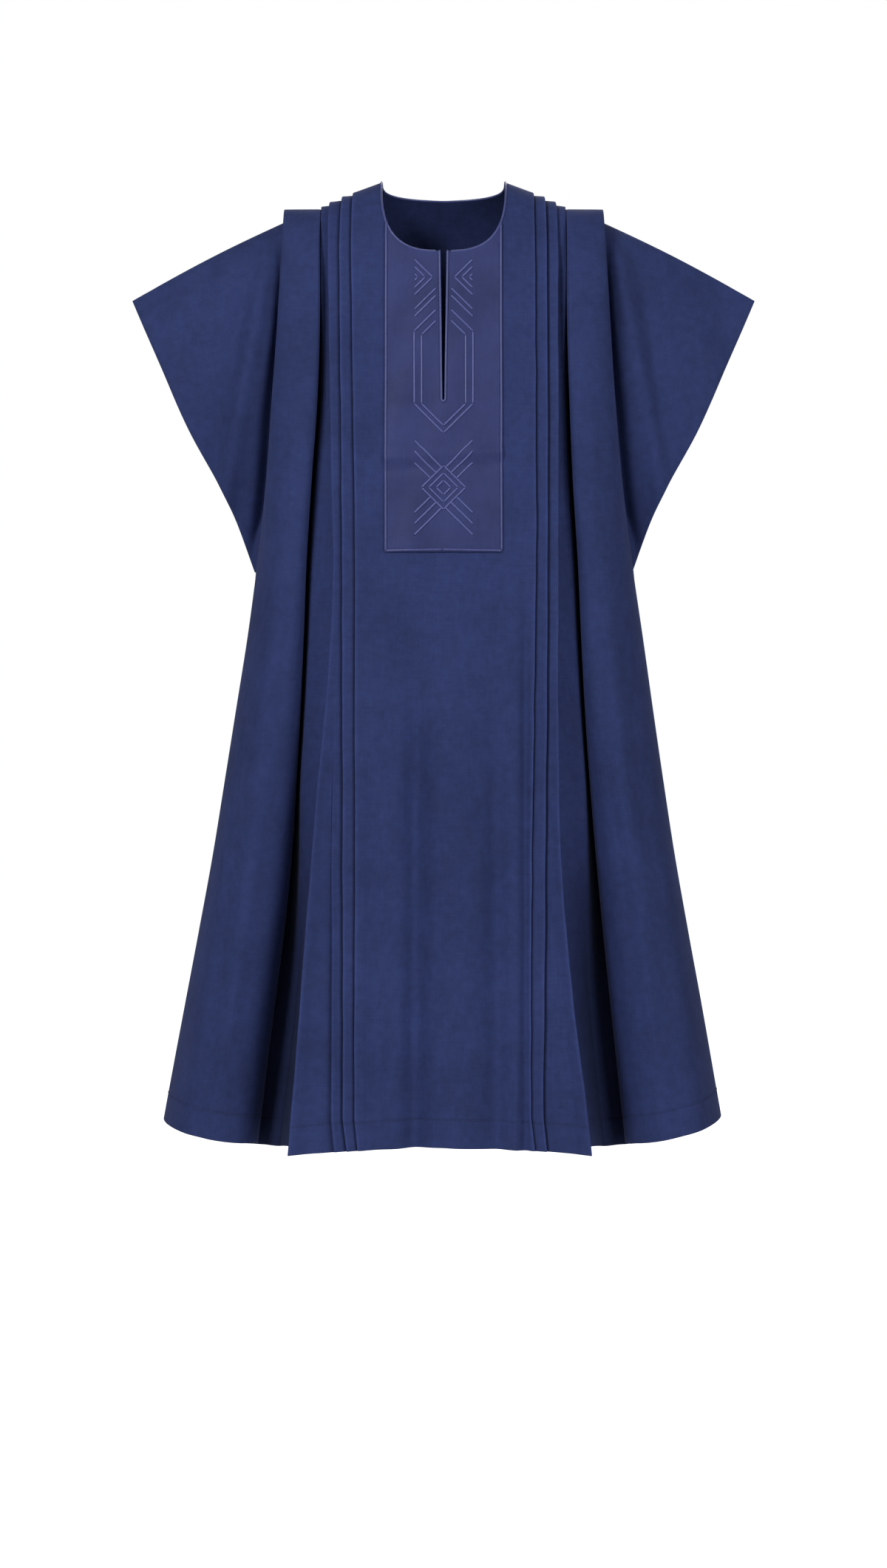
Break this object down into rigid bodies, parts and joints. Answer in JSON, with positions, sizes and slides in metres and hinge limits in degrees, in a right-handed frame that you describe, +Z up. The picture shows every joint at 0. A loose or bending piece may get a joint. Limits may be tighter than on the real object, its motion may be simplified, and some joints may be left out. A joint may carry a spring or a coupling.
{
  "type": "grand boubou robe",
  "caption": "Wide calf-length robe with a round corded neck and slit, an embroidered bib, knife pleats over the shoulders and winged open sleeves.",
  "frame": {"origin": "on top of the wearer's shoulders, midway between the two sides of the neck", "axes": "+Z up, the front faces -Y, +X to the right of someone facing the front"},
  "size_m": [0.7412, 0.3597, 1.145],
  "materials": {
    "cloth": "plain-woven navy cloth with a low sheen",
    "bib_cloth": "satin-faced navy cloth with tone-on-tone embroidery",
    "cord": "round satin piping cord"
  },
  "bodies": {
    "root": {"front_panel": "cloth", "back_panel": "cloth", "left_side_front": "cloth", "left_side_back": "cloth", "right_side_front": "cloth", "right_side_back": "cloth", "left_sleeve_front": "cloth", "left_sleeve_back": "cloth", "right_sleeve_front": "cloth", "right_sleeve_back": "cloth", "bib": "bib_cloth", "bib_cord": "cord", "neck_cord": "cord", "slit_cord": "cord"}
  },
  "joints": []
}
